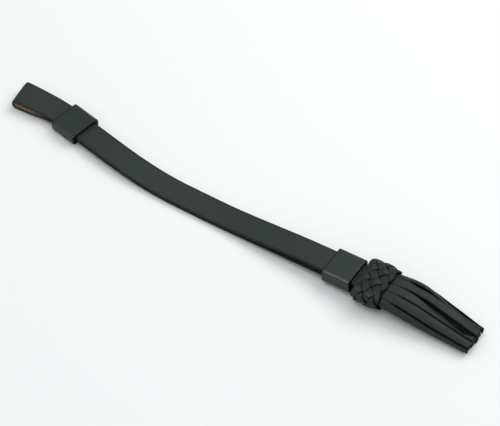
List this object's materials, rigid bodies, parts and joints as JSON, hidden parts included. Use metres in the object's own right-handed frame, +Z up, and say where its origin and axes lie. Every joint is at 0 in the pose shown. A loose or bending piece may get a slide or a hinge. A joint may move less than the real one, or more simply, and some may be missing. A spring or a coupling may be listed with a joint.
{
  "type": "leather sword knot",
  "caption": "Leather strap doubled into a loop, with sliding keepers, a woven knot and a tassel of cut strands.",
  "frame": {"origin": "centre of the footprint on the resting plane", "axes": "+X along the strap from the loop to the tassel, +Y across the strap, +Z up from the resting plane"},
  "size_m": [0.4982, 0.0622, 0.0256],
  "materials": {
    "strap_leather": "waxed bridle leather, smooth grain",
    "keeper_leather": "waxed bridle leather, polished edges",
    "lace_leather": "soft satin",
    "fringe_leather": "soft satin",
    "plug_leather": "raw",
    "thread": "waxed"
  },
  "bodies": {
    "head": {"strap_tassel_side": "strap_leather", "strap_flex_zone": "strap_leather", "spread_plug": "plug_leather", "plug_stitches": "thread", "fringe_collar": "fringe_leather", "fringe_whipping": "thread", "knot_lace": "lace_leather"},
    "loop_end": {"strap_loop_side": "strap_leather"},
    "loop_keeper": {"loop_keeper": "keeper_leather", "loop_keeper_stitches": "thread"},
    "slide_keeper": {"slide_keeper": "keeper_leather", "slide_keeper_stitches": "thread"},
    "strand_01": {"strand_01": "fringe_leather"},
    "strand_02": {"strand_02": "fringe_leather"},
    "strand_03": {"strand_03": "fringe_leather"},
    "strand_04": {"strand_04": "fringe_leather"},
    "strand_05": {"strand_05": "fringe_leather"},
    "strand_06": {"strand_06": "fringe_leather"},
    "strand_07": {"strand_07": "fringe_leather"},
    "strand_08": {"strand_08": "fringe_leather"},
    "strand_09": {"strand_09": "fringe_leather"},
    "strand_10": {"strand_10": "fringe_leather"},
    "strand_11": {"strand_11": "fringe_leather"},
    "strand_12": {"strand_12": "fringe_leather"}
  },
  "joints": [
    {"name": "strap_bend", "type": "hinge", "parent": "head", "child": "loop_end", "pos_m": [-0.10203, -0.00285, 0.0037], "axis": [0.1102, 0.9939, 0], "range_deg": [-45, 45], "stiffness_Nm_per_rad": 0.05, "deforming": ["strap_flex_zone"]},
    {"name": "loop_keeper_slide", "type": "slide", "parent": "loop_end", "child": "loop_keeper", "axis": [-0.9785, 0.2062, 0], "range_m": [-0.026, 0.002]},
    {"name": "slide_keeper_slide", "type": "slide", "parent": "head", "child": "slide_keeper", "axis": [-0.9989, 0.0131, -0.0453], "range_m": [0, 0.095]},
    {"name": "strand_01_swing", "type": "hinge", "parent": "head", "child": "strand_01", "pos_m": [0.16228, 0.00661, 0.01938], "axis": [-0.0379, -0.7933, 0.6077], "range_deg": [0, 20], "stiffness_Nm_per_rad": 0.02},
    {"name": "strand_02_swing", "type": "hinge", "parent": "head", "child": "strand_02", "pos_m": [0.1621, -0.00184, 0.02088], "axis": [-0.0131, -0.9999, 0], "range_deg": [0, 20], "stiffness_Nm_per_rad": 0.02},
    {"name": "strand_03_swing", "type": "hinge", "parent": "head", "child": "strand_03", "pos_m": [0.16198, -0.01063, 0.02088], "axis": [-0.0131, -0.9999, 0], "range_deg": [0, 20], "stiffness_Nm_per_rad": 0.02},
    {"name": "strand_04_swing", "type": "hinge", "parent": "head", "child": "strand_04", "pos_m": [0.16187, -0.01941, 0.02086], "axis": [-0.0094, -0.9967, -0.0802], "range_deg": [0, 20], "stiffness_Nm_per_rad": 0.02},
    {"name": "strand_05_swing", "type": "hinge", "parent": "head", "child": "strand_05", "pos_m": [0.16202, -0.02583, 0.01565], "axis": [0.0397, -0.2834, -0.9582], "range_deg": [0, 20], "stiffness_Nm_per_rad": 0.02},
    {"name": "strand_06_swing", "type": "hinge", "parent": "head", "child": "strand_06", "pos_m": [0.16241, -0.02327, 0.0078], "axis": [0.0379, 0.7933, -0.6077], "range_deg": [0, 20], "stiffness_Nm_per_rad": 0.02},
    {"name": "strand_07_swing", "type": "hinge", "parent": "head", "child": "strand_07", "pos_m": [0.16259, -0.01482, 0.0063], "axis": [0.0131, 0.9999, 0], "range_deg": [0, 20], "stiffness_Nm_per_rad": 0.02},
    {"name": "strand_08_swing", "type": "hinge", "parent": "head", "child": "strand_08", "pos_m": [0.16271, -0.00604, 0.0063], "axis": [0.0131, 0.9999, 0], "range_deg": [0, 20], "stiffness_Nm_per_rad": 0.02},
    {"name": "strand_09_swing", "type": "hinge", "parent": "head", "child": "strand_09", "pos_m": [0.16282, 0.00275, 0.00632], "axis": [0.0094, 0.9967, 0.0802], "range_deg": [0, 20], "stiffness_Nm_per_rad": 0.02},
    {"name": "strand_10_swing", "type": "hinge", "parent": "head", "child": "strand_10", "pos_m": [0.16267, 0.00917, 0.01153], "axis": [-0.0397, 0.2834, 0.9582], "range_deg": [0, 20], "stiffness_Nm_per_rad": 0.02},
    {"name": "strand_11_swing", "type": "hinge", "parent": "head", "child": "strand_11", "pos_m": [0.16216, -0.00413, 0.01888], "axis": [-0.0131, -0.9999, 0], "range_deg": [-1, 1], "stiffness_Nm_per_rad": 0.02},
    {"name": "strand_12_swing", "type": "hinge", "parent": "head", "child": "strand_12", "pos_m": [0.16205, -0.01253, 0.01888], "axis": [-0.0131, -0.9999, 0], "range_deg": [-1, 1], "stiffness_Nm_per_rad": 0.02}
  ]
}
